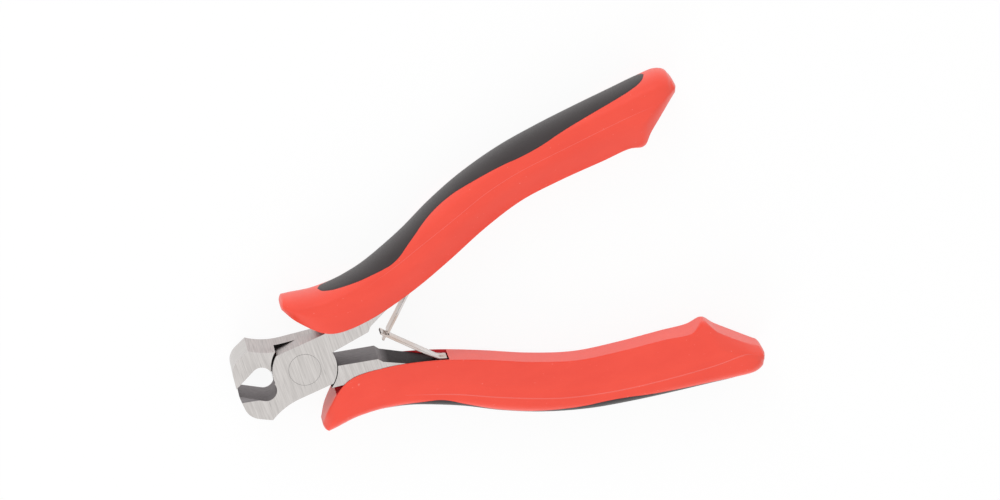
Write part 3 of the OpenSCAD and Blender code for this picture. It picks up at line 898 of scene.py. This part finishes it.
def leaf_spring(name, node, side, columns, kept, stations):
    """A strip in columns across its width; kept says which cells of it are there."""
    route = leaf_route(stations)
    shape = bmesh.new()
    rows = [[shape.verts.new((p[0] * MM, p[1] * MM, z * MM)) for z in columns] for s, p in route]
    for i in range(len(rows) - 1):
        middle = (route[i][0] + route[i + 1][0]) / 2
        for j in range(len(columns) - 1):
            if kept(j, middle):
                shape.faces.new((rows[i][j], rows[i][j + 1], rows[i + 1][j + 1], rows[i + 1][j]))
    loose = [v for v in shape.verts if not v.link_faces]
    bmesh.ops.delete(shape, geom=loose, context="VERTS")
    bmesh.ops.recalc_face_normals(shape, faces=shape.faces)
    mesh = bpy.data.meshes.new(name)
    shape.to_mesh(mesh)
    shape.free()
    piece = bpy.data.objects.new(name, mesh)
    bpy.context.scene.collection.objects.link(piece)
    wall = piece.modifiers.new("thickness", "SOLIDIFY")
    wall.thickness = LEAF_T * MM
    wall.offset = 0
    wall.use_even_offset = True
    settle(piece)
    break_edges(piece, LEAF_BREAK, limit_degrees=60)
    shade(piece, STEEL_CRISP)
    weighted_normals(piece)
    piece.data.materials.append(STRIP)
    piece.data.materials.append(SHEARED)
    along = Vector((*LEAF_DIR, 0))
    for skin in piece.data.polygons:
        sheared = abs(skin.normal.dot(along)) > 0.5 or 0.15 < abs(skin.normal.z) < 0.9
        skin.material_index = int(sheared and skin.center.x < KNEE[0] * MM)
    place_half(piece, side)
    face_outward(piece)
    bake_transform(piece)
    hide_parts(node)


SHOULDER_L = CROSS_L - TIP_L / 2
SLOT_FROM, SLOT_TO = CROSS_L - SLOT_L / 2, CROSS_L + SLOT_L / 2
SLOT_HALF = TONGUE_W / 2 + SLOT_FIT
leaf_spring("upper_leaf_strip", "upper_leaf_spring", "upper",
            [-LEAF_W / 2, -TONGUE_W / 2, TONGUE_W / 2, LEAF_W / 2],
            lambda column, s: column == 1 or s < SHOULDER_L, [SHOULDER_L])
leaf_spring("lower_leaf_strip", "lower_leaf_spring", "lower",
            [-LEAF_W / 2, -SLOT_HALF, SLOT_HALF, LEAF_W / 2],
            lambda column, s: column != 1 or not SLOT_FROM < s < SLOT_TO, [SLOT_FROM, SLOT_TO])


def rivet_tree():
    """Node tree of a low domed rivet: a dome scaled to its head, on a shank that goes into the seat."""
    tree = bpy.data.node_groups.new("domed_rivet", "GeometryNodeTree")
    face = tree.interface
    face.new_socket("Start", in_out="INPUT", socket_type="NodeSocketGeometry")
    face.new_socket("Head radius", in_out="INPUT", socket_type="NodeSocketFloat")
    face.new_socket("Head height", in_out="INPUT", socket_type="NodeSocketFloat")
    face.new_socket("Shank radius", in_out="INPUT", socket_type="NodeSocketFloat")
    face.new_socket("Shank length", in_out="INPUT", socket_type="NodeSocketFloat")
    face.new_socket("Finish", in_out="INPUT", socket_type="NodeSocketMaterial")
    face.new_socket("Rivet", in_out="OUTPUT", socket_type="NodeSocketGeometry")
    start = tree.nodes.new("NodeGroupInput")
    end = tree.nodes.new("NodeGroupOutput")
    dome = tree.nodes.new("GeometryNodeMeshUVSphere")
    dome.inputs["Segments"].default_value = 32
    dome.inputs["Rings"].default_value = 16
    dome.inputs["Radius"].default_value = 1
    size = tree.nodes.new("ShaderNodeCombineXYZ")
    flatten = tree.nodes.new("GeometryNodeTransform")
    shank = tree.nodes.new("GeometryNodeMeshCylinder")
    shank.inputs["Vertices"].default_value = 32
    drop = tree.nodes.new("ShaderNodeMath")
    drop.operation = "MULTIPLY"
    drop.inputs[1].default_value = -0.5
    down = tree.nodes.new("ShaderNodeCombineXYZ")
    sink = tree.nodes.new("GeometryNodeTransform")
    join = tree.nodes.new("GeometryNodeJoinGeometry")
    smooth = tree.nodes.new("GeometryNodeSetShadeSmooth")
    real = tree.nodes.new("GeometryNodeRealizeInstances")
    coat = tree.nodes.new("GeometryNodeSetMaterial")
    for source, target in (
        (start.outputs["Head radius"], size.inputs["X"]),
        (start.outputs["Head radius"], size.inputs["Y"]),
        (start.outputs["Head height"], size.inputs["Z"]),
        (dome.outputs["Mesh"], flatten.inputs["Geometry"]),
        (size.outputs["Vector"], flatten.inputs["Scale"]),
        (start.outputs["Shank radius"], shank.inputs["Radius"]),
        (start.outputs["Shank length"], shank.inputs["Depth"]),
        (start.outputs["Shank length"], drop.inputs[0]),
        (drop.outputs["Value"], down.inputs["Z"]),
        (shank.outputs["Mesh"], sink.inputs["Geometry"]),
        (down.outputs["Vector"], sink.inputs["Translation"]),
        (flatten.outputs["Geometry"], join.inputs["Geometry"]),
        (sink.outputs["Geometry"], join.inputs["Geometry"]),
        (join.outputs["Geometry"], smooth.inputs["Geometry"]),
        (smooth.outputs["Geometry"], real.inputs["Geometry"]),
        (real.outputs["Geometry"], coat.inputs["Geometry"]),
        (start.outputs["Finish"], coat.inputs["Material"]),
        (coat.outputs["Geometry"], end.inputs["Rivet"]),
    ):
        tree.links.new(source, target)
    return tree


def spring_rivet(side, body, tree):
    """The rivet through a leaf's foot, square to its seat."""
    piece = mesh_piece(side + "_spring_rivet_head", [(0, 0, 0)], [])
    head_foot = PIN_FOOT + SEAT_UP * (FOOT_FIT + LEAF_T - PIN_HEAD_SINK)
    set_tree(piece, tree, **{
        "Head radius": PIN_HEAD_R * MM, "Head height": PIN_HEAD_H * MM, "Shank radius": PIN_R * MM,
        "Shank length": (PIN_L + FOOT_FIT + LEAF_T) * MM, "Finish": STRIP})
    stand = Vector((*SEAT_UP, 0)).to_track_quat("Z", "Y").to_matrix().to_4x4()
    piece.data.transform(Matrix.Translation(Vector((*head_foot, 0)) * MM) @ stand)
    place_half(piece, side)
    shade(piece, STEEL_CRISP)
    hand_over(piece, body, side + "_spring_rivet")


RIVET_TREE = rivet_tree()
spring_rivet("upper", "upper_handle", RIVET_TREE)
spring_rivet("lower", "lower_handle", RIVET_TREE)


# Floor, light and camera

FLOOR_Z = (HEAD_T - GRIP_T) / 2 * MM
FLOOR_SIZE = 4
AMBIENT = 0.77
FLOOR_WHITE = 0.92
LAMP_SIZE = 0.6
OBJECT_MIDDLE = Vector((0.042, 0, HEAD_T / 2 * MM))


def seen_as_background(tree):
    """One where a surface is seen straight, mirrored or through something, and not as light."""
    path = tree.nodes.new("ShaderNodeLightPath")
    seen = worked(tree, "MAXIMUM", path.outputs["Is Camera Ray"], path.outputs["Is Glossy Ray"])
    return worked(tree, "MAXIMUM", seen, path.outputs["Is Transmission Ray"])


def studio_floor():
    """Pale floor that shows nearly white and keeps a faint shadow."""
    finish = bpy.data.materials.new("studio floor")
    finish.use_nodes = True
    tree = finish.node_tree
    tree.nodes.clear()
    pale = tree.nodes.new("ShaderNodeBsdfDiffuse")
    pale.inputs["Color"].default_value = (0.95, 0.95, 0.95, 1)
    white = tree.nodes.new("ShaderNodeEmission")
    white.inputs["Strength"].default_value = 1
    mix = tree.nodes.new("ShaderNodeMixShader")
    out = tree.nodes.new("ShaderNodeOutputMaterial")
    white_share = worked(tree, "MULTIPLY", seen_as_background(tree), FLOOR_WHITE)
    tree.links.new(white_share, mix.inputs["Fac"])
    tree.links.new(pale.outputs["BSDF"], mix.inputs[1])
    tree.links.new(white.outputs["Emission"], mix.inputs[2])
    tree.links.new(mix.outputs["Shader"], out.inputs["Surface"])
    return finish


half_floor = FLOOR_SIZE / 2
floor = mesh_piece("studio_floor", [
    (-half_floor, -half_floor, FLOOR_Z), (half_floor, -half_floor, FLOOR_Z),
    (half_floor, half_floor, FLOOR_Z), (-half_floor, half_floor, FLOOR_Z)], [(0, 1, 2, 3)])
floor.data.materials.append(studio_floor())

world = bpy.data.worlds.new("studio")
world.use_nodes = True
bpy.context.scene.world = world
sky = world.node_tree
background = sky.nodes["Background"]
background.inputs["Color"].default_value = (1, 1, 1, 1)
sky_level = ranged(sky, seen_as_background(sky), 0, 1, AMBIENT, 1)
sky.links.new(sky_level, background.inputs["Strength"])


def soft_lamp(name, place, power):
    """A wide round lamp that faces the object and isn't mirrored in its steel."""
    data = bpy.data.lights.new(name, "AREA")
    data.shape = "DISK"
    data.size = LAMP_SIZE
    data.energy = power
    lamp = bpy.data.objects.new(name, data)
    lamp.location = place
    lamp.rotation_euler = (OBJECT_MIDDLE - Vector(place)).to_track_quat("-Z", "Y").to_euler()
    lamp.visible_glossy = False
    bpy.context.scene.collection.objects.link(lamp)


soft_lamp("low key", (0.0, 0.8, 0.4), 2.8)
soft_lamp("low fill", (-0.4, -0.65, 0.4), 2.9)

CAMERA_EYE = Vector((0.027555, 0.368463, 1.143561 + HEAD_T / 2 * MM))
CAMERA_RIGHT = Vector((0.942273, -0.313678, 0.117169)).normalized()
CAMERA_BACK = Vector((-0.018963, 0.299363, 0.953951)).normalized()
CAMERA_LENS = 191.874
camera_up = CAMERA_BACK.cross(CAMERA_RIGHT)
camera_data = bpy.data.cameras.new("photo view")
camera_data.sensor_fit = "HORIZONTAL"
camera_data.sensor_width = 36
camera_data.lens = CAMERA_LENS
camera_data.clip_start = 0.01
camera_data.clip_end = 20
camera = bpy.data.objects.new("photo view", camera_data)
camera_turn = Matrix((CAMERA_RIGHT, camera_up, CAMERA_BACK)).transposed()
camera.matrix_world = Matrix.Translation(CAMERA_EYE) @ camera_turn.to_4x4()
bpy.context.scene.collection.objects.link(camera)
bpy.context.scene.camera = camera

bpy.context.scene.view_settings.view_transform = "Standard"
